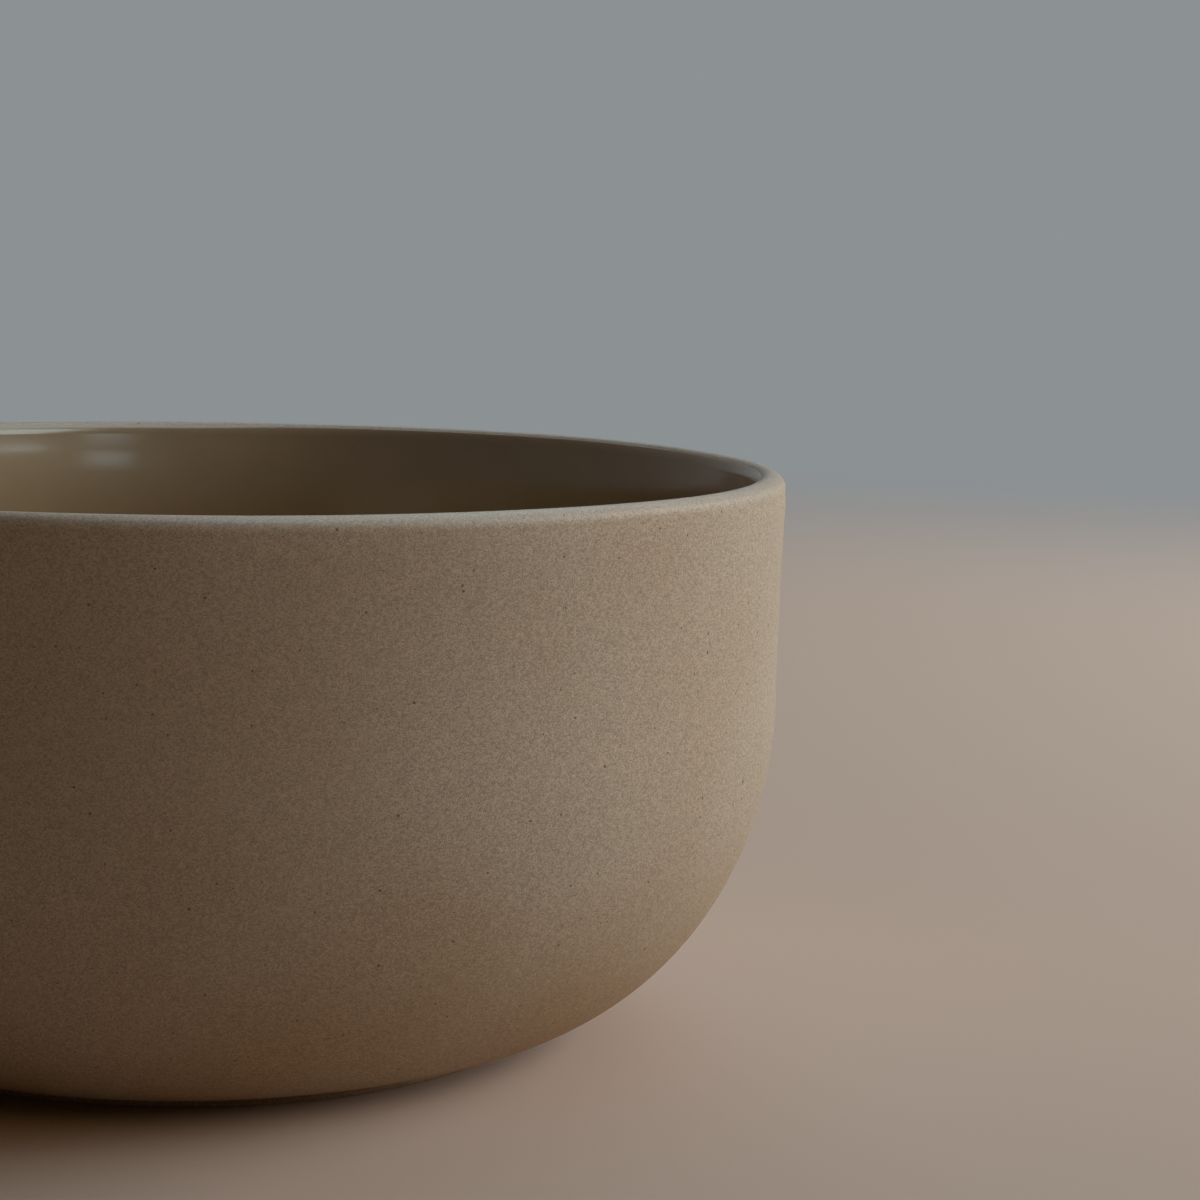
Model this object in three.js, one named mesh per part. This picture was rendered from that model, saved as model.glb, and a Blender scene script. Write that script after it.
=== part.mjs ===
// A handleless cappuccino cup in stoneware: a low bowl of bare clay with a rounded lip
// and a turned foot ring, and a coat of glaze fused to its inside.
// Millimetres, +Z up, with the origin where the cup's axis meets the table.
import * as THREE from "three";

// Outside of the clay, from the foot up
const FOOT_DIAMETER = 58; // outside of the ring that the cup stands on
const FOOT_WIDTH = 4; // of the ring, along the radius
const FOOT_HEIGHT = 0.6; // of the ring, below the level underside of the bowl
const FOOT_EDGE = 0.3; // rounding of both edges of the ring
const HOLLOW_DEPTH = 1.2; // of the hollow turned out inside the ring
const HOLLOW_FILLET = 0.6; // between the hollow and the ring
const ROUND_WIDTH = 23.4; // of the bowl's round, along the radius
const ROUND_HEIGHT = 28.9; // of the bowl's round, from the underside up to the waist
const WAIST_DIAMETER = 99.1; // where the round runs into the wall
const LIP_DIAMETER = 100; // across the upright band under the crest
const LIP_BAND = 2.8; // from the crest down to the lower edge of that band, where the wall draws in
const LIP_ROUNDING = 1.3; // height of the rounding on both sides of the crest
const HEIGHT = 49; // from the table to the crest of the lip

// Inside of the clay, from the lip down
const LIP_THICKNESS = 2.6;
const WALL_THICKNESS = 3.2; // at the waist
const WELL_ROUND_WIDTH = 23; // of the round between wall and floor, along the radius
const FLOOR_THICKNESS = 3.8; // over the hollow of the foot

// Glaze
const GLAZE_THICKNESS = 0.4;
const GLAZE_EDGE = 0.15; // thickness at its upper edge
const GLAZE_FEATHER = 4; // height over which it grows to its full thickness
const GLAZE_STOP = 0.3; // from the crest down to its upper edge
const GLAZE_CLEARANCE = 0.05; // bond line between the glaze and the clay

// Fineness of the turned surfaces
const AROUND = 72;
const ROUND_STEPS = 10;
const WALL_STEPS = 4;
const LIP_STEPS = 4;
const EDGE_STEPS = 2;
const SAME_POINT = 1e-6;

const footRadius = FOOT_DIAMETER / 2;
const hollowRadius = footRadius - FOOT_WIDTH;
const waistRadius = WAIST_DIAMETER / 2;
const waistHeight = FOOT_HEIGHT + ROUND_HEIGHT;
const lipRadius = LIP_DIAMETER / 2;
const floorHeight = HOLLOW_DEPTH + FLOOR_THICKNESS;

// A point of a profile: its radius from the axis and its height above the table.
function at(radius, height) {
  return new THREE.Vector2(radius, height);
}

// Part of an ellipse with upright and level half axes.
function arc(centre, width, height, fromDegrees, toDegrees, steps) {
  const from = THREE.MathUtils.degToRad(fromDegrees);
  const to = THREE.MathUtils.degToRad(toDegrees);
  return new THREE.EllipseCurve(centre.x, centre.y, width, height, from, to, to < from).getPoints(steps);
}

// One side of the wall: it leaves the waist upright and flares out to the lip.
function flare(waist, lip) {
  const upright = at(waist.x, (waist.y + lip.y) / 2);
  return new THREE.QuadraticBezierCurve(waist, upright, lip).getPoints(WALL_STEPS);
}

// One profile from stretches that meet end to end.
function joined(...stretches) {
  const isNew = (point, i, all) => i === 0 || point.distanceTo(all[i - 1]) > SAME_POINT;
  return stretches.flat().filter(isNew);
}

// The underside, from the axis across the hollow to the outer edge of the foot ring.
function underside() {
  const filletCentre = at(hollowRadius - HOLLOW_FILLET, HOLLOW_DEPTH - HOLLOW_FILLET);
  const innerEdge = at(hollowRadius + FOOT_EDGE, FOOT_EDGE);
  const outerEdge = at(footRadius - FOOT_EDGE, FOOT_EDGE);
  return joined(
    [at(0, HOLLOW_DEPTH)],
    arc(filletCentre, HOLLOW_FILLET, HOLLOW_FILLET, 90, 0, EDGE_STEPS),
    arc(innerEdge, FOOT_EDGE, FOOT_EDGE, 180, 270, EDGE_STEPS),
    arc(outerEdge, FOOT_EDGE, FOOT_EDGE, 270, 360, EDGE_STEPS),
  );
}

// The rounding of the lip between two angles: 0 is its outer side, 90 its crest and 180 its inner side.
function lipRound(fromDegrees, toDegrees) {
  const centre = at(lipRadius - LIP_THICKNESS / 2, HEIGHT - LIP_ROUNDING);
  return arc(centre, LIP_THICKNESS / 2, LIP_ROUNDING, fromDegrees, toDegrees, LIP_STEPS);
}

// The outside, from the foot ring up the round, the wall and the upright band to the lip's crest.
function outside() {
  const roundCentre = at(waistRadius - ROUND_WIDTH, waistHeight);
  const footReach = Math.max(footRadius - roundCentre.x, 0) / ROUND_WIDTH;
  const footAngle = -THREE.MathUtils.radToDeg(Math.acos(footReach));
  return joined(
    arc(roundCentre, ROUND_WIDTH, ROUND_HEIGHT, footAngle, 0, ROUND_STEPS),
    flare(at(waistRadius, waistHeight), at(lipRadius, HEIGHT - LIP_BAND)),
    lipRound(0, 90),
  );
}

// Where the glaze ends on the rounding inside the crest.
const glazeStopAngle = 180 - THREE.MathUtils.radToDeg(Math.asin(1 - GLAZE_STOP / LIP_ROUNDING));

// The surface that the glaze covers, from its upper edge down the wall to the middle of the floor.
function lining() {
  const innerWaist = at(waistRadius - WALL_THICKNESS, waistHeight);
  const innerLip = at(lipRadius - LIP_THICKNESS, HEIGHT - LIP_ROUNDING);
  const wellCentre = at(innerWaist.x - WELL_ROUND_WIDTH, waistHeight);
  return joined(
    lipRound(glazeStopAngle, 180),
    flare(innerWaist, innerLip).reverse(),
    arc(wellCentre, WELL_ROUND_WIDTH, waistHeight - floorHeight, 0, -90, ROUND_STEPS),
    [at(0, floorHeight)],
  );
}

// The glaze is thin at its upper edge, where it was wiped, and full a little way down.
function glazeThickness(point) {
  const depth = HEIGHT - GLAZE_STOP - point.y;
  const fullness = THREE.MathUtils.smoothstep(depth, 0, GLAZE_FEATHER);
  return THREE.MathUtils.lerp(GLAZE_EDGE, GLAZE_THICKNESS, fullness);
}

// A lining raised off the clay, into the bowl, by its own distance at each point.
function raised(points, distance) {
  return points.map((point, i) => {
    const before = points[Math.max(i - 1, 0)];
    const after = points[Math.min(i + 1, points.length - 1)];
    const along = after.clone().sub(before).normalize();
    const intoBowl = at(along.y, -along.x);
    return point.clone().addScaledVector(intoBowl, distance(point));
  });
}

function bodyProfile() {
  return joined(underside(), outside(), lipRound(90, glazeStopAngle), lining());
}

function glazeProfile() {
  const covered = lining();
  const clayFace = raised(covered, () => GLAZE_CLEARANCE);
  const bowlFace = raised(covered, (point) => GLAZE_CLEARANCE + glazeThickness(point));
  return joined(clayFace.reverse(), bowlFace);
}

// A piece turned about the cup's axis.
function turned(name, profile, material) {
  const geometry = new THREE.LatheGeometry(profile, AROUND);
  geometry.rotateX(Math.PI / 2);
  const mesh = new THREE.Mesh(geometry, material);
  mesh.name = name;
  return mesh;
}

const bareClay = new THREE.MeshStandardMaterial({ color: 0xac9f8f, roughness: 0.85, metalness: 0 });
const clearGlaze = new THREE.MeshStandardMaterial({ color: 0x978062, roughness: 0.15, metalness: 0 });

const cup = new THREE.Group();
cup.add(turned("stoneware_body", bodyProfile(), bareClay));
cup.add(turned("liner_glaze", glazeProfile(), clearGlaze));

export default cup;
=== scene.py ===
"""The looks of a handleless stoneware cappuccino cup, built around its CAD frame."""

import math

import bpy
from mathutils import Matrix, Vector


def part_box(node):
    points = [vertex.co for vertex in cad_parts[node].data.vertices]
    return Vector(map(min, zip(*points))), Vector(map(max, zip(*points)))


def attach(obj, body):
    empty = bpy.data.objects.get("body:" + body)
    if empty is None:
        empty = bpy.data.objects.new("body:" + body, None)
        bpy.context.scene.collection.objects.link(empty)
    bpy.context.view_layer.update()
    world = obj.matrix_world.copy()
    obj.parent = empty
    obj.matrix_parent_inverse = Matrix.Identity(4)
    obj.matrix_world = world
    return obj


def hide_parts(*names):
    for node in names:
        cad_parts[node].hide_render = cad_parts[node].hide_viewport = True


bl_info = {
    "name": "Stoneware Cappuccino Cup",
    "version": (1, 0, 0),
    "blender": (4, 5, 0),
    "location": "View3D > Sidebar > Cup",
    "description": "Turns a bare clay cup, glazes its inside and sets it on a studio floor",
    "category": "Add Mesh",
}

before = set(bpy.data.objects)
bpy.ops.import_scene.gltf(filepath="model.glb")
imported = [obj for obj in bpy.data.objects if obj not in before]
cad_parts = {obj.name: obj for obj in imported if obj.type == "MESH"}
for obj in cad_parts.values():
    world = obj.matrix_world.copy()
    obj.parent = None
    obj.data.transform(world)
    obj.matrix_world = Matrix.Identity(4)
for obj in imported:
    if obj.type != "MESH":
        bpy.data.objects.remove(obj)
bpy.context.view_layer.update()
BODY_LOW, BODY_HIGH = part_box("stoneware_body")

MM = 0.001
MICRON = 0.000001
WELD = 0.5 * MICRON

# Fineness of the turned surfaces
AROUND = 240
ROUND_STEPS = 36
WELL_STEPS = 30
OUTER_WALL_STEPS = 16
INNER_WALL_STEPS = 14
LIP_STEPS = 14
BAND_STEPS = 12
FILLET_STEPS = 6
EDGE_STEPS = 5
STEPS_PER_MARK = 6

# The slower of the two tool marks under the foot, as shares of the other one
SLOW_PITCH = 2.7
SLOW_DEPTH = 0.6

# Sizes of the patterns in the clay and the glaze, in millimetres
KILN_CLOUD = 22
SAND_GRAIN = 0.1
GLAZE_CLOUD = 7
GLAZE_WAVE = 9

# How far apart the specks are, and how wide the smallest and the largest, in millimetres
PEPPER = (1.15, 0.05, 0.3)
IRON = (4.0, 0.1, 0.5)
BLED_IRON = (3.4, 0.1, 0.5)

# How far the specks hide the clay or the glaze that they sit in
IRON_COVER = 0.85
BLED_COVER = 0.6

SENSOR_WIDTH = 36  # of the camera, in millimetres


def linear(hex_colour):
    """An sRGB hex colour as linear red, green and blue."""
    channels = [int(hex_colour[i:i + 2], 16) / 255 for i in (0, 2, 4)]
    return [c / 12.92 if c <= 0.04045 else ((c + 0.055) / 1.055) ** 2.4 for c in channels]


def length(name, description, default):
    """A property for a size on the cup or its stage, in metres."""
    return bpy.props.FloatProperty(
        name=name, description=description, default=default, subtype="DISTANCE", unit="LENGTH", precision=6
    )


def angle(name, description, degrees):
    """A property for an angle, given in degrees."""
    return bpy.props.FloatProperty(
        name=name, description=description, default=math.radians(degrees), subtype="ANGLE", unit="ROTATION"
    )


def power(name, description, watts):
    """A property for a lamp's power, in watts."""
    return bpy.props.FloatProperty(name=name, description=description, default=watts, min=0, unit="POWER")


def colour(name, description, hex_colour):
    """A property for a colour, given as sRGB hex."""
    return bpy.props.FloatVectorProperty(
        name=name, description=description, default=linear(hex_colour), subtype="COLOR", size=3, min=0, max=1
    )


class CupClaySettings(bpy.types.PropertyGroup):
    """Sizes and colours of the clay."""

    height: length("Height", "From the table to the crest of the lip", BODY_HIGH.z - BODY_LOW.z)
    lip_diameter: length("Lip diameter", "Across the upright band under the crest", BODY_HIGH.x - BODY_LOW.x)
    lip_band: length("Lip band", "From the crest down to the lower edge of that band", 2.8 * MM)
    lip_rounding: length("Lip rounding", "Height of the rounding on both sides of the crest", 1.3 * MM)
    lip_thickness: length("Lip thickness", "Through the lip", 2.6 * MM)
    press_depth: length("Press depth", "Of the faint hollow that a finger left around the lip", 0.03 * MM)
    press_fall: length("Press fall", "From the crest down to the middle of that hollow", 1.35 * MM)
    press_span: length("Press span", "Half the height of that hollow", 0.45 * MM)
    waist_diameter: length("Waist diameter", "Where the round runs into the wall", 99.1 * MM)
    wall_thickness: length("Wall thickness", "At the waist", 3.2 * MM)
    round_width: length("Round width", "Of the bowl's round, along the radius", 23.4 * MM)
    round_height: length("Round height", "Of the bowl's round, from the underside to the waist", 28.9 * MM)
    well_round_width: length("Well round width", "Of the round inside, along the radius", 23.0 * MM)
    floor_thickness: length("Floor thickness", "Over the hollow of the foot", 3.8 * MM)
    foot_diameter: length("Foot diameter", "Outside of the foot ring", 58.0 * MM)
    foot_width: length("Foot width", "Of the foot ring, along the radius", 4.0 * MM)
    foot_height: length("Foot height", "Of the foot ring, below the bowl", 0.6 * MM)
    foot_edge: length("Foot edge", "Rounding of both edges of the foot ring", 0.3 * MM)
    hollow_depth: length("Hollow depth", "Of the hollow turned out inside the foot", 1.2 * MM)
    hollow_fillet: length("Hollow fillet", "Between the hollow and the foot ring", 0.6 * MM)
    turning_pitch: length("Turning pitch", "Between the tool marks under the foot", 1.5 * MM)
    turning_depth: length("Turning depth", "Of the tool marks under the foot", 0.06 * MM)
    warp: length("Warp", "How far the kiln moves the lip out of true", 0.25 * MM)
    warp_span: length("Warp span", "Over which the warp changes", 55.0 * MM)
    # The clay is painted darker and warmer from the foot up to this height, as painted shade and painted
    # warm bounce from the floor.
    painted_foot_shade_height: length("Toasted height", "How far up from the foot the kiln toasted the clay", 24.5 * MM)
    sponge_stop: length("Sponge stop", "From the crest down to where the lip is sponged smooth", 0.26 * MM)
    sand: colour("Sand", "Most of the bare clay", "ad9f8c")
    # This colour serves both the kiln's random clouds and the painted shade near the foot.
    toasted_and_shaded: colour("Toasted", "Where the kiln toasted the clay", "a38562")
    iron: colour("Iron", "Iron specks in the clay", "4d3f33")


class CupGlazeSettings(bpy.types.PropertyGroup):
    """Sizes and colours of the glaze."""

    thickness: length("Thickness", "Of the glaze on the wall", 0.4 * MM)
    edge: length("Edge", "Thickness at the upper edge, where it was wiped", 0.04 * MM)
    feather: length("Feather", "Height over which it grows to its thickness", 4.0 * MM)
    stop: length("Stop", "From the crest down to the upper edge", 0.3 * MM)
    bond: length("Bond", "Between the glaze and the clay", 0.02 * MM)
    pool_depth: length("Pool depth", "How far up from the floor it has gathered", 12.0 * MM)
    thin_band: length("Thin band", "From the crest down to where it has its full colour", 3.0 * MM)
    glassy: colour("Glassy", "The clay seen through the glaze on the wall", "9d8b6e")
    thin: colour("Thin", "Where the glaze runs thin under the lip", "9d8c70")
    pooled: colour("Pooled", "Where the glaze gathers on the floor", "938976")


class CupStageSettings(bpy.types.PropertyGroup):
    """The camera, the light and the floor."""

    camera_distance: length("Camera distance", "From the cup's axis", 261.0 * MM)
    camera_height: length("Camera height", "Above the table", 69.8 * MM)
    camera_yaw: angle("Camera yaw", "To the right of the cup's axis", 7.53)
    camera_pitch: angle("Camera pitch", "Below the horizon", 7.12)
    camera_roll: angle("Camera roll", "About the line of sight", 1.11)
    camera_lens: bpy.props.FloatProperty(
        name="Camera lens", description="Focal length of the lens", default=90, unit="CAMERA"
    )
    key_power: power("Key power", "Of the soft light at the right", 5.05)
    key_tone: colour("Key tone", "Of the soft light at the right", "fcffff")
    front_power: power("Front power", "Of the weak light at the front", 0.42)
    warm_tone: colour("Warm tone", "Of the weak lights at the front and the back left", "ffd088")
    side_power: power("Side power", "Of the soft light at the back left", 0.45)
    ceiling_power: power("Ceiling power", "Of the cool light above, which shows only in the gloss", 1.55)
    back_power: power("Back power", "Of the cool light behind the cup", 1.1)
    cool_tone: colour("Cool tone", "Of the light from above and behind", "dcf4ff")
    glint_power: power("Glint power", "Of the light that the glaze mirrors", 1.9)
    patch_power: power("Patch power", "Of the small light that the glaze mirrors faintly", 0.1)
    under_power: power("Under power", "Of the light under the floor, which reaches only the foot", 1.2)
    floor_tone: colour("Floor", "The plain floor", "d3c2b8")
    floor_radius: length("Floor radius", "How far the floor reaches", 6.0)
    fade_start: length("Fade start", "How far from the cup the floor starts to fade into the room", 0.30)
    fade_end: length("Fade end", "How far from the cup the floor has faded into the room", 0.66)
    room_tone: colour("Room", "The plain room behind the cup", "8c9194")
    fill_tone: colour("Fill", "The light from all sides", "302512")


# Each lamp's azimuth and elevation in degrees, seen from the cup with the camera at azimuth 0,
# and its distance, width and height in metres.
LAMPS = {
    "key_light": (92, 22, 0.80, 0.63, 0.45),
    "front_light": (40, 28, 0.75, 0.40, 0.30),
    "ceiling_light": (110, 78, 0.60, 0.45, 0.40),
    "back_light": (150, 43, 0.75, 0.70, 0.40),
    "side_light": (215, 35, 0.75, 0.50, 0.40),
    "glint_light": (50, 39.5, 0.75, 0.24, 0.49),
    "patch_light": (23.5, 16.5, 0.75, 0.125, 0.118),
    "under_light": (30, -60, 0.45, 0.40, 0.40),
}
LAMP_TARGET = Vector((0, 0, 30 * MM))


def arc(centre, width, height, start, end, steps):
    """Points along part of an ellipse, between two angles in degrees."""
    turns = [math.radians(start + (end - start) * i / steps) for i in range(steps + 1)]
    return [(centre[0] + width * math.cos(t), centre[1] + height * math.sin(t)) for t in turns]


def flare(waist, lip, steps):
    """One side of the wall: it leaves the waist upright and flares out to the lip."""
    shares = [i / steps for i in range(steps + 1)]
    return [(waist[0] + (lip[0] - waist[0]) * s * s, waist[1] + (lip[1] - waist[1]) * s) for s in shares]


def joined(*stretches):
    """One profile from stretches that meet end to end."""
    profile = []
    for point in (p for stretch in stretches for p in stretch):
        if not profile or math.dist(point, profile[-1]) > WELD:
            profile.append(point)
    return profile


def smooth(value, low, high):
    """0 below low, 1 above high and an even S between them."""
    share = min(max((value - low) / (high - low), 0), 1)
    return share * share * (3 - 2 * share)


def waist_height(clay):
    return clay.foot_height + clay.round_height


def floor_height(clay):
    return clay.hollow_depth + clay.floor_thickness


def underside(clay):
    """From the axis over the turned hollow to the outer edge of the foot ring."""
    foot = clay.foot_diameter / 2
    hollow = foot - clay.foot_width
    flat = hollow - clay.hollow_fillet
    steps = round(flat / clay.turning_pitch) * STEPS_PER_MARK
    marks = []
    for radius in [flat * i / steps for i in range(steps + 1)]:
        # Two pitches that drift apart make the marks uneven, and they die out before the fillet.
        groove = math.sin(math.tau * radius / clay.turning_pitch)
        groove += SLOW_DEPTH * math.sin(math.tau * radius / (SLOW_PITCH * clay.turning_pitch))
        fade = smooth(flat - radius, 0, 2 * clay.turning_pitch) * smooth(radius, 0, clay.turning_pitch)
        marks.append((radius, clay.hollow_depth + clay.turning_depth / 2 * groove * fade))
    fillet = (flat, clay.hollow_depth - clay.hollow_fillet)
    edge = clay.foot_edge
    return joined(
        marks,
        arc(fillet, clay.hollow_fillet, clay.hollow_fillet, 90, 0, FILLET_STEPS),
        arc((hollow + edge, edge), edge, edge, 180, 270, EDGE_STEPS),
        arc((foot - edge, edge), edge, edge, 270, 360, EDGE_STEPS),
    )


def lip_round(clay, start, end):
    """The rounding of the lip between two angles: 0 is its outer side, 90 its crest
    and 180 its inner side."""
    centre = ((clay.lip_diameter - clay.lip_thickness) / 2, clay.height - clay.lip_rounding)
    return arc(centre, clay.lip_thickness / 2, clay.lip_rounding, start, end, LIP_STEPS)


def outside(clay):
    """From the foot ring up the round, the wall and the pressed band to the lip's crest."""
    waist, lip = clay.waist_diameter / 2, clay.lip_diameter / 2
    centre = (waist - clay.round_width, waist_height(clay))
    foot_share = max(clay.foot_diameter / 2 - centre[0], 0) / clay.round_width
    foot_angle = -math.degrees(math.acos(foot_share))
    band_foot = (lip, clay.height - clay.lip_band)
    rise = (clay.lip_band - clay.lip_rounding) / BAND_STEPS
    band = [(lip, band_foot[1] + rise * i) for i in range(BAND_STEPS + 1)]
    pressed = []
    for radius, height in joined(band, lip_round(clay, 0, 90)):
        off_middle = (clay.height - height - clay.press_fall) / clay.press_span
        pressed.append((radius - clay.press_depth * math.exp(-off_middle ** 2), height))
    return joined(
        arc(centre, clay.round_width, clay.round_height, foot_angle, 0, ROUND_STEPS),
        flare((waist, centre[1]), band_foot, OUTER_WALL_STEPS),
        pressed,
    )


def glaze_stop_angle(clay, glaze):
    """Where the glaze ends on the rounding inside the crest."""
    return 180 - math.degrees(math.asin(1 - glaze.stop / clay.lip_rounding))


def lining(clay, glaze):
    """The clay that the glaze covers, from its upper edge to the middle of the floor."""
    waist = (clay.waist_diameter / 2 - clay.wall_thickness, waist_height(clay))
    lip = (clay.lip_diameter / 2 - clay.lip_thickness, clay.height - clay.lip_rounding)
    centre = (waist[0] - clay.well_round_width, waist[1])
    floor = floor_height(clay)
    return joined(
        lip_round(clay, glaze_stop_angle(clay, glaze), 180),
        reversed(flare(waist, lip, INNER_WALL_STEPS)),
        arc(centre, clay.well_round_width, waist[1] - floor, 0, -90, WELL_STEPS),
        [(centre[0] * share, floor) for share in (0.75, 0.5, 0.25, 0)],
    )


def raised(profile, distance):
    """A profile moved off the clay into the bowl, by its own distance at each point."""
    moved = []
    last = len(profile) - 1
    for i, point in enumerate(profile):
        before, after = profile[max(i - 1, 0)], profile[min(i + 1, last)]
        along = (Vector(after) - Vector(before)).normalized()
        off = distance(point)
        moved.append((max(point[0] + along.y * off, 0), point[1] - along.x * off))
    return moved


def turn(name, profile):
    """Draws a profile by extruding one vertex from point to point, and spins it about the cup's axis."""
    bpy.ops.object.select_all(action="DESELECT")
    bpy.ops.mesh.primitive_plane_add(size=MM)
    piece = bpy.context.object
    piece.name = piece.data.name = name
    bpy.ops.object.mode_set(mode="EDIT")
    bpy.ops.mesh.merge(type="CENTER")
    places = [Vector((radius, 0, height)) for radius, height in profile]
    bpy.ops.transform.translate(value=places[0])
    for place, after in zip(places, places[1:]):
        bpy.ops.mesh.extrude_vertices_move(TRANSFORM_OT_translate={"value": after - place})
    bpy.ops.mesh.select_all(action="SELECT")
    bpy.ops.mesh.spin(steps=AROUND, angle=math.tau, center=(0, 0, 0), axis=(0, 0, 1))
    bpy.ops.mesh.select_all(action="SELECT")
    bpy.ops.mesh.remove_doubles(threshold=WELD)
    bpy.ops.mesh.normals_make_consistent(inside=False)
    bpy.ops.object.mode_set(mode="OBJECT")
    bpy.ops.object.shade_smooth()
    return piece


WARP_NOISES = {"X": "BLENDER_ORIGINAL", "Y": "ORIGINAL_PERLIN", "Z": "IMPROVED_PERLIN"}


def kiln_warp(axis, clay):
    """The noise by which the kiln moved the clay along one axis, the same for every piece."""
    name = f"kiln_warp_{axis.lower()}"
    texture = bpy.data.textures.get(name)
    if texture is None:
        texture = bpy.data.textures.new(name, "CLOUDS")
        texture.noise_basis = WARP_NOISES[axis]
        texture.noise_scale = clay.warp_span
        texture.noise_depth = 1
    return texture


def warp(piece, clay):
    """Moves a piece a little out of true, most at the lip and not at all at the foot."""
    group = piece.vertex_groups.new(name="rise")
    for vertex in piece.data.vertices:
        group.add([vertex.index], smooth(vertex.co.z, 0, clay.height), "REPLACE")
    for axis in WARP_NOISES:
        modifier = piece.modifiers.new(f"warp_{axis}", "DISPLACE")
        modifier.texture = kiln_warp(axis, clay)
        modifier.direction = axis
        modifier.strength = 2 * clay.warp
        modifier.vertex_group = "rise"
        bpy.ops.object.modifier_apply(modifier=modifier.name)
    bpy.ops.object.vertex_group_remove(all=True)


def add_node(tree, kind, inputs=None, **settings):
    """Adds a node with its settings, and sets each input to a value or links it to a socket."""
    node = tree.nodes.new(kind)
    for name, value in settings.items():
        setattr(node, name, value)
    for key, value in (inputs or {}).items():
        if isinstance(value, bpy.types.NodeSocket):
            tree.links.new(value, node.inputs[key])
        else:
            node.inputs[key].default_value = value
    return node


def new_material(name):
    """An empty node material."""
    material = bpy.data.materials.new(name)
    material.use_nodes = True
    material.node_tree.nodes.clear()
    return material


def per_metre(millimetres):
    """The scale that gives a pattern's cells a real size."""
    return 1 / (millimetres * MM)


# Sockets of a Mix node that mixes colours
MIX_FACTOR, MIX_A, MIX_B, MIX_RESULT = 0, 6, 7, 2


def specks(tree, coords, spacing_mm, smallest_mm, largest_mm):
    """A mask of round specks of mixed sizes, strewn through the clay."""
    cells = add_node(tree, "ShaderNodeTexVoronoi", {"Vector": coords, "Scale": per_metre(spacing_mm)})
    chance = add_node(tree, "ShaderNodeSeparateColor", {0: cells.outputs["Color"]})
    radius = add_node(tree, "ShaderNodeMapRange", {
        "Value": chance.outputs[0],
        "To Min": smallest_mm / 2 / spacing_mm,
        "To Max": largest_mm / 2 / spacing_mm,
    })
    # A speck is solid out to half its radius, and fades from there.
    core = add_node(tree, "ShaderNodeMath", {0: radius.outputs[0], 1: 0.5}, operation="MULTIPLY")
    mask = add_node(tree, "ShaderNodeMapRange", {
        "Value": cells.outputs["Distance"],
        "From Min": core.outputs[0],
        "From Max": radius.outputs[0],
        "To Min": 1.0,
        "To Max": 0.0,
    }, interpolation_type="SMOOTHSTEP")
    return mask.outputs[0]


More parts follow.
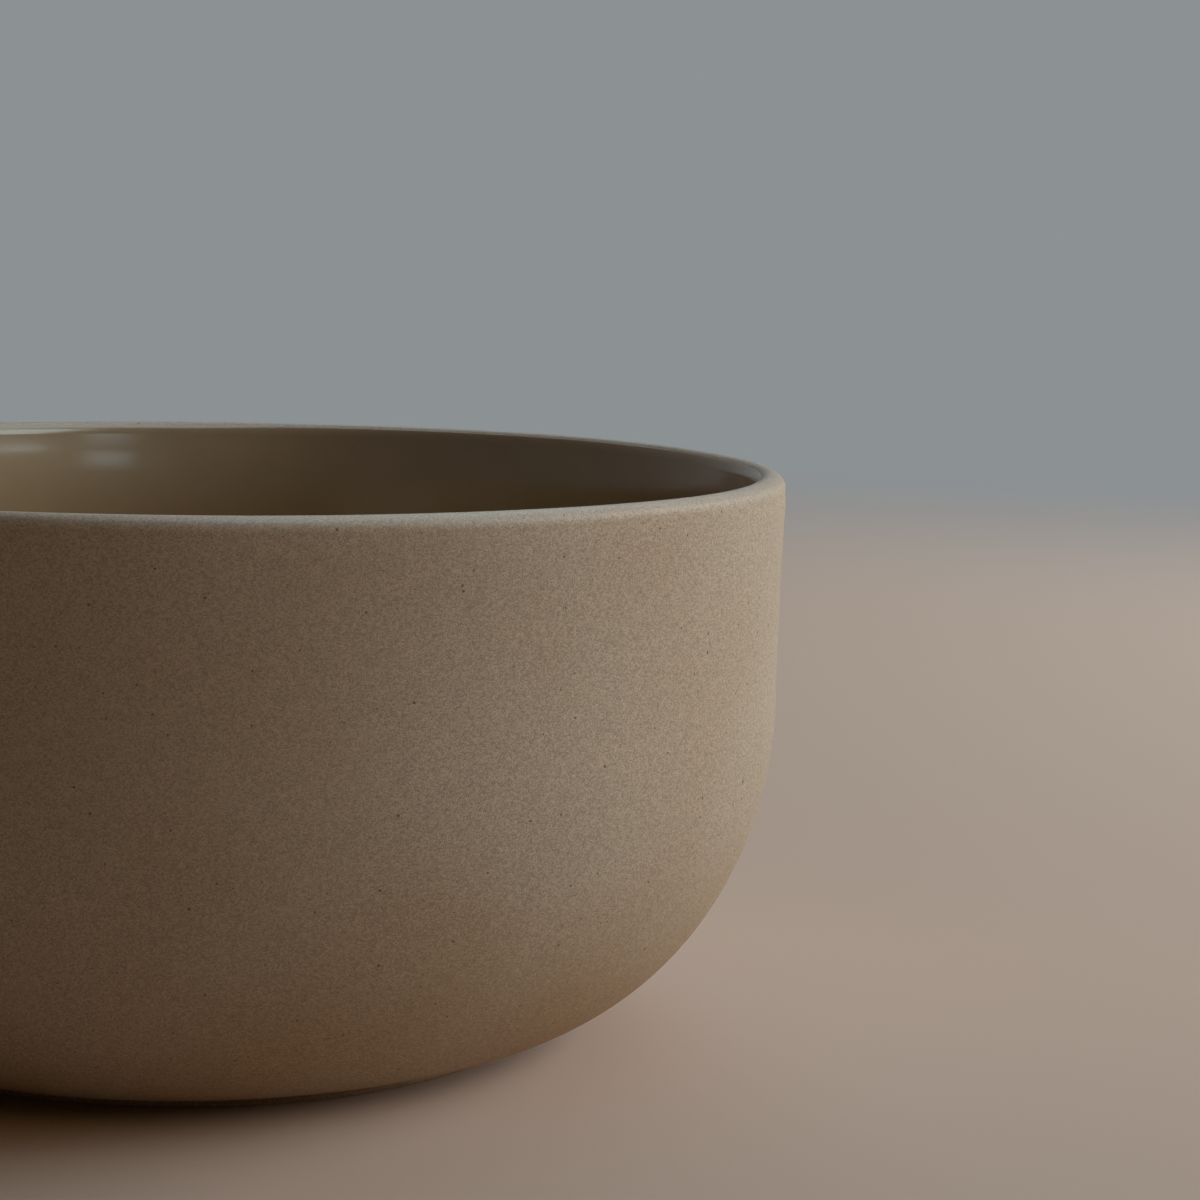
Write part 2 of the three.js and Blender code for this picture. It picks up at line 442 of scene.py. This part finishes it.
def bare_stoneware(clay):
    """Fired, unglazed stoneware, turned and sponged: matt and sandy, with a fine even grain,
    soft clouds of tone from the kiln, painted shade that darkens and warms it towards the foot,
    and iron burnt out to small dark specks."""
    material = new_material("bare_stoneware_sponged")
    tree = material.node_tree
    coords = add_node(tree, "ShaderNodeTexCoord").outputs["Object"]

    # The kiln left soft clouds of darker, warmer tone, and near the foot the clay is painted darker and
    # warmer still: painted shade and painted warm bounce from the floor.
    height = add_node(tree, "ShaderNodeSeparateXYZ", {0: coords}).outputs["Z"]
    # Painted shade: darker and warmer towards the foot.
    low = add_node(tree, "ShaderNodeMapRange", {
        "Value": height, "From Min": 0.0, "From Max": clay.painted_foot_shade_height, "To Min": 0.8, "To Max": 0.0,
    }, interpolation_type="SMOOTHSTEP")
    clouds = add_node(tree, "ShaderNodeTexNoise", {
        "Vector": coords, "Scale": per_metre(KILN_CLOUD), "Detail": 3,
    })
    patches = add_node(tree, "ShaderNodeMapRange", {
        "Value": clouds.outputs[0], "From Min": 0.35, "From Max": 0.65, "To Min": -0.15, "To Max": 0.2,
    })
    kiln_tone_and_foot_shade = add_node(tree, "ShaderNodeMath", {
        0: low.outputs[0], 1: patches.outputs[0],
    }, operation="ADD", use_clamp=True)
    tone = add_node(tree, "ShaderNodeMix", {
        MIX_FACTOR: kiln_tone_and_foot_shade.outputs[0], MIX_A: (*clay.sand, 1), MIX_B: (*clay.toasted_and_shaded, 1),
    }, data_type="RGBA")

    # Each grain of sand has its own shade. Real ones are finer: these are the finest that still show.
    grain = add_node(tree, "ShaderNodeTexVoronoi", {"Vector": coords, "Scale": per_metre(SAND_GRAIN)})
    shade = add_node(tree, "ShaderNodeMapRange", {
        "Value": add_node(tree, "ShaderNodeSeparateColor", {0: grain.outputs["Color"]}).outputs[0],
        "To Min": 0.69,
        "To Max": 1.31,
    })
    sandy = add_node(tree, "ShaderNodeMix", {
        MIX_FACTOR: 1.0, MIX_A: tone.outputs[MIX_RESULT], MIX_B: shade.outputs[0],
    }, data_type="RGBA", blend_type="MULTIPLY")

    pepper = specks(tree, coords, *PEPPER)
    iron = specks(tree, coords, *IRON)
    speck = add_node(tree, "ShaderNodeMath", {0: pepper, 1: iron}, operation="MAXIMUM")
    cover = add_node(tree, "ShaderNodeMath", {0: speck.outputs[0], 1: IRON_COVER}, operation="MULTIPLY")
    flecked = add_node(tree, "ShaderNodeMix", {
        MIX_FACTOR: cover.outputs[0], MIX_A: sandy.outputs[MIX_RESULT], MIX_B: (*clay.iron, 1),
    }, data_type="RGBA")

    # Sponging leaves the lip smoother than the wall.
    sponged = add_node(tree, "ShaderNodeMapRange", {
        "Value": height,
        "From Min": clay.height - clay.lip_rounding,
        "From Max": clay.height - clay.sponge_stop,
        "To Min": 0.85,
        "To Max": 0.36,
    }, interpolation_type="SMOOTHSTEP")

    # Grains stand up between their joints, and specks are shallow pits.
    relief = add_node(tree, "ShaderNodeMath", {
        0: speck.outputs[0], 1: 0.6, 2: grain.outputs["Distance"],
    }, operation="MULTIPLY_ADD")
    bump = add_node(tree, "ShaderNodeBump", {
        "Strength": 1.0, "Distance": 16 * MICRON, "Height": relief.outputs[0],
    }, invert=True)
    surface = add_node(tree, "ShaderNodeBsdfPrincipled", {
        "Base Color": flecked.outputs[MIX_RESULT],
        "Roughness": sponged.outputs[0],
        "IOR": 1.5,
        "Normal": bump.outputs[0],
    })
    add_node(tree, "ShaderNodeOutputMaterial", {"Surface": surface.outputs[0]})
    return material


def glossy_glaze(clay, glaze):
    """Clear stoneware glaze fired over the same clay: glassy and smooth, deeper in colour than the
    bare clay, a shade paler where it runs thin at the lip and greyer where it gathers on the floor."""
    material = new_material("clear_stoneware_glaze")
    tree = material.node_tree
    coords = add_node(tree, "ShaderNodeTexCoord").outputs["Object"]
    height = add_node(tree, "ShaderNodeSeparateXYZ", {0: coords}).outputs["Z"]

    floor = floor_height(clay)
    gathered = add_node(tree, "ShaderNodeMapRange", {
        "Value": height,
        "From Min": floor,
        "From Max": floor + glaze.pool_depth,
        "To Min": 1.0,
        "To Max": 0.0,
    }, interpolation_type="SMOOTHSTEP")
    wall = add_node(tree, "ShaderNodeMix", {
        MIX_FACTOR: gathered.outputs[0], MIX_A: (*glaze.glassy, 1), MIX_B: (*glaze.pooled, 1),
    }, data_type="RGBA")
    rim = add_node(tree, "ShaderNodeMapRange", {
        "Value": height, "From Min": clay.height - glaze.thin_band, "From Max": clay.height,
    }, interpolation_type="SMOOTHSTEP")
    coat = add_node(tree, "ShaderNodeMix", {
        MIX_FACTOR: rim.outputs[0], MIX_A: wall.outputs[MIX_RESULT], MIX_B: (*glaze.thin, 1),
    }, data_type="RGBA")

    clouds = add_node(tree, "ShaderNodeTexNoise", {
        "Vector": coords, "Scale": per_metre(GLAZE_CLOUD), "Detail": 4,
    })
    shade = add_node(tree, "ShaderNodeMapRange", {
        "Value": clouds.outputs[0], "From Min": 0.3, "From Max": 0.7, "To Min": 0.92, "To Max": 1.06,
    })
    cloudy = add_node(tree, "ShaderNodeMix", {
        MIX_FACTOR: 1.0, MIX_A: coat.outputs[MIX_RESULT], MIX_B: shade.outputs[0],
    }, data_type="RGBA", blend_type="MULTIPLY")
    iron = specks(tree, coords, *BLED_IRON)
    bled = add_node(tree, "ShaderNodeMath", {0: iron, 1: BLED_COVER}, operation="MULTIPLY")
    flecked = add_node(tree, "ShaderNodeMix", {
        MIX_FACTOR: bled.outputs[0], MIX_A: cloudy.outputs[MIX_RESULT], MIX_B: (*clay.iron, 1),
    }, data_type="RGBA")

    # The melt froze in slow waves, which bend what it mirrors.
    waves = add_node(tree, "ShaderNodeTexNoise", {
        "Vector": coords, "Scale": per_metre(GLAZE_WAVE), "Detail": 1,
    })
    bump = add_node(tree, "ShaderNodeBump", {
        "Strength": 1.0, "Distance": 40 * MICRON, "Height": waves.outputs[0],
    })
    surface = add_node(tree, "ShaderNodeBsdfPrincipled", {
        "Base Color": flecked.outputs[MIX_RESULT],
        "Roughness": 0.17,
        "IOR": 1.52,
        "Normal": bump.outputs[0],
    })
    add_node(tree, "ShaderNodeOutputMaterial", {"Surface": surface.outputs[0]})
    return material


def studio_floor(stage):
    """Matt painted board, which fades into the room far from the cup."""
    material = new_material("matt_painted_board")
    tree = material.node_tree
    coords = add_node(tree, "ShaderNodeTexCoord").outputs["Object"]
    away = add_node(tree, "ShaderNodeVectorMath", {0: coords}, operation="LENGTH")
    fade = add_node(tree, "ShaderNodeMapRange", {
        "Value": away.outputs["Value"], "From Min": stage.fade_start, "From Max": stage.fade_end,
    }, interpolation_type="SMOOTHSTEP")
    # From below, the board is clear too, so that the foot can be looked at.
    below = add_node(tree, "ShaderNodeNewGeometry").outputs["Backfacing"]
    clearness = add_node(tree, "ShaderNodeMath", {0: fade.outputs[0], 1: below}, operation="MAXIMUM")
    board = add_node(tree, "ShaderNodeBsdfDiffuse", {"Color": (*stage.floor_tone, 1)})
    clear = add_node(tree, "ShaderNodeBsdfTransparent")
    surface = add_node(tree, "ShaderNodeMixShader", {
        0: clearness.outputs[0], 1: board.outputs[0], 2: clear.outputs[0],
    })
    add_node(tree, "ShaderNodeOutputMaterial", {"Surface": surface.outputs[0]})
    return material


def plain_room(stage):
    """A room of one tone, which the camera and the gloss see, and a dimmer, warmer light from all sides."""
    world = bpy.data.worlds.new("plain_room")
    world.use_nodes = True
    tree = world.node_tree
    tree.nodes.clear()
    path = add_node(tree, "ShaderNodeLightPath").outputs
    mirrored = add_node(tree, "ShaderNodeMath", {
        0: path["Is Glossy Ray"], 1: path["Is Transmission Ray"],
    }, operation="MAXIMUM")
    seen = add_node(tree, "ShaderNodeMath", {
        0: path["Is Camera Ray"], 1: mirrored.outputs[0],
    }, operation="MAXIMUM")
    tone = add_node(tree, "ShaderNodeMix", {
        MIX_FACTOR: seen.outputs[0], MIX_A: (*stage.fill_tone, 1), MIX_B: (*stage.room_tone, 1),
    }, data_type="RGBA")
    background = add_node(tree, "ShaderNodeBackground", {"Color": tone.outputs[MIX_RESULT]})
    add_node(tree, "ShaderNodeOutputWorld", {"Surface": background.outputs[0]})
    return world


def finish_piece(piece, material, node):
    """Gives a piece its material and its place in the frame."""
    piece.data.materials.append(material)
    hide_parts(node)
    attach(piece, "root")


def soft_light(name, watts, tone):
    """A rectangular soft light that faces the cup from its place in LAMPS and doesn't show itself."""
    azimuth, elevation, distance, width, height = LAMPS[name]
    turn_to, lift = math.radians(azimuth), math.radians(elevation)
    away = Vector((
        math.sin(turn_to) * math.cos(lift), -math.cos(turn_to) * math.cos(lift), math.sin(lift),
    ))
    bpy.ops.object.light_add(type="AREA", location=LAMP_TARGET + distance * away)
    lamp = bpy.context.object
    lamp.name = lamp.data.name = name
    lamp.rotation_euler = away.to_track_quat("Z", "Y").to_euler()
    lamp.data.shape = "RECTANGLE"
    lamp.data.size = width
    lamp.data.size_y = height
    lamp.data.energy = watts
    lamp.data.color = tone
    lamp.visible_camera = False
    return lamp


def lay_floor(clay, stage):
    """Lays the floor, open under the foot so that the foot can be lit from below."""
    foot_face = clay.foot_diameter / 2 - clay.foot_edge
    floor = turn("studio_floor", [(foot_face, 0), (stage.floor_radius, 0)])
    # A flat ring comes out of the turning face down.
    bpy.ops.object.mode_set(mode="EDIT")
    bpy.ops.mesh.select_all(action="SELECT")
    bpy.ops.mesh.flip_normals()
    bpy.ops.object.mode_set(mode="OBJECT")
    floor.data.materials.append(studio_floor(stage))


def set_lights(stage):
    """Sets all the lamps around the cup."""
    soft_light("key_light", stage.key_power, stage.key_tone)
    soft_light("back_light", stage.back_power, stage.cool_tone)
    soft_light("under_light", stage.under_power, stage.key_tone)
    # These two don't show in the gloss.
    soft_light("front_light", stage.front_power, stage.warm_tone).visible_glossy = False
    soft_light("side_light", stage.side_power, stage.warm_tone).visible_glossy = False
    # These three show only in the gloss of the lip and the glaze.
    soft_light("ceiling_light", stage.ceiling_power, stage.cool_tone).visible_diffuse = False
    soft_light("glint_light", stage.glint_power, stage.cool_tone).visible_diffuse = False
    soft_light("patch_light", stage.patch_power, stage.cool_tone).visible_diffuse = False


def place_camera(stage):
    """A camera in front of the cup, turned by its yaw, pitch and roll."""
    yaw, pitch, roll = stage.camera_yaw, stage.camera_pitch, stage.camera_roll
    ahead = Vector((
        math.sin(yaw) * math.cos(pitch), math.cos(yaw) * math.cos(pitch), -math.sin(pitch),
    ))
    level = Vector((math.cos(yaw), -math.sin(yaw), 0))
    upright = level.cross(ahead)
    right = level * math.cos(roll) + upright * math.sin(roll)
    up = upright * math.cos(roll) - level * math.sin(roll)
    bpy.ops.object.camera_add()
    camera = bpy.context.object
    camera.name = camera.data.name = "camera"
    turned = Matrix((right, up, -ahead)).transposed().to_4x4()
    camera.matrix_world = Matrix.Translation((0, -stage.camera_distance, stage.camera_height)) @ turned
    camera.data.sensor_width = SENSOR_WIDTH
    camera.data.lens = stage.camera_lens
    camera.data.clip_start = 10 * MM
    camera.data.clip_end = 100
    return camera


class CUP_OT_turn_clay(bpy.types.Operator):
    """Turns the bare clay body with its lip, round, foot ring and hollow"""

    bl_idname = "cup.turn_clay"
    bl_label = "Turn the Clay"

    def execute(self, context):
        clay, glaze = context.scene.cup_clay, context.scene.cup_glaze
        profile = joined(
            underside(clay),
            outside(clay),
            lip_round(clay, 90, glaze_stop_angle(clay, glaze)),
            lining(clay, glaze),
        )
        piece = turn("bare_clay_cup", profile)
        warp(piece, clay)
        finish_piece(piece, bare_stoneware(clay), "stoneware_body")
        return {"FINISHED"}


class CUP_OT_pour_glaze(bpy.types.Operator):
    """Lines the inside with glaze, thin at its upper edge and full on the wall"""

    bl_idname = "cup.pour_glaze"
    bl_label = "Pour the Glaze"

    def execute(self, context):
        clay, glaze = context.scene.cup_clay, context.scene.cup_glaze
        covered = lining(clay, glaze)
        top = clay.height - glaze.stop

        def bowl_face(point):
            grown = smooth(top - point[1], 0, glaze.feather)
            return glaze.bond + glaze.edge + (glaze.thickness - glaze.edge) * grown

        clay_face = raised(covered, lambda point: glaze.bond)
        profile = joined(reversed(clay_face), raised(covered, bowl_face))
        piece = turn("glaze_lining", profile)
        warp(piece, clay)
        finish_piece(piece, glossy_glaze(clay, glaze), "liner_glaze")
        return {"FINISHED"}


class CUP_OT_set_stage(bpy.types.Operator):
    """Lays the floor and sets the light and the camera"""

    bl_idname = "cup.set_stage"
    bl_label = "Set the Stage"

    def execute(self, context):
        scene, clay, stage = context.scene, context.scene.cup_clay, context.scene.cup_stage
        lay_floor(clay, stage)
        set_lights(stage)
        scene.world = plain_room(stage)
        scene.view_settings.view_transform = "Standard"
        scene.camera = place_camera(stage)
        return {"FINISHED"}


class CUP_PT_panel(bpy.types.Panel):
    """The cup's sizes, colours and steps"""

    bl_idname = "CUP_PT_panel"
    bl_label = "Cappuccino Cup"
    bl_space_type = "VIEW_3D"
    bl_region_type = "UI"
    bl_category = "Cup"

    def draw(self, context):
        for step, settings in STEPS.items():
            box = self.layout.box()
            box.operator(step)
            group = getattr(context.scene, settings)
            for name in group.__annotations__:
                box.prop(group, name)


STEPS = {"cup.turn_clay": "cup_clay", "cup.pour_glaze": "cup_glaze", "cup.set_stage": "cup_stage"}
SETTINGS = {"cup_clay": CupClaySettings, "cup_glaze": CupGlazeSettings, "cup_stage": CupStageSettings}
CLASSES = (*SETTINGS.values(), CUP_OT_turn_clay, CUP_OT_pour_glaze, CUP_OT_set_stage, CUP_PT_panel)


def register():
    for cls in CLASSES:
        bpy.utils.register_class(cls)
    for name, cls in SETTINGS.items():
        setattr(bpy.types.Scene, name, bpy.props.PointerProperty(type=cls))


def unregister():
    for name in SETTINGS:
        delattr(bpy.types.Scene, name)
    for cls in reversed(CLASSES):
        bpy.utils.unregister_class(cls)


def main():
    register()
    bpy.ops.cup.turn_clay()
    bpy.ops.cup.pour_glaze()
    bpy.ops.cup.set_stage()


if __name__ == "__main__":
    main()
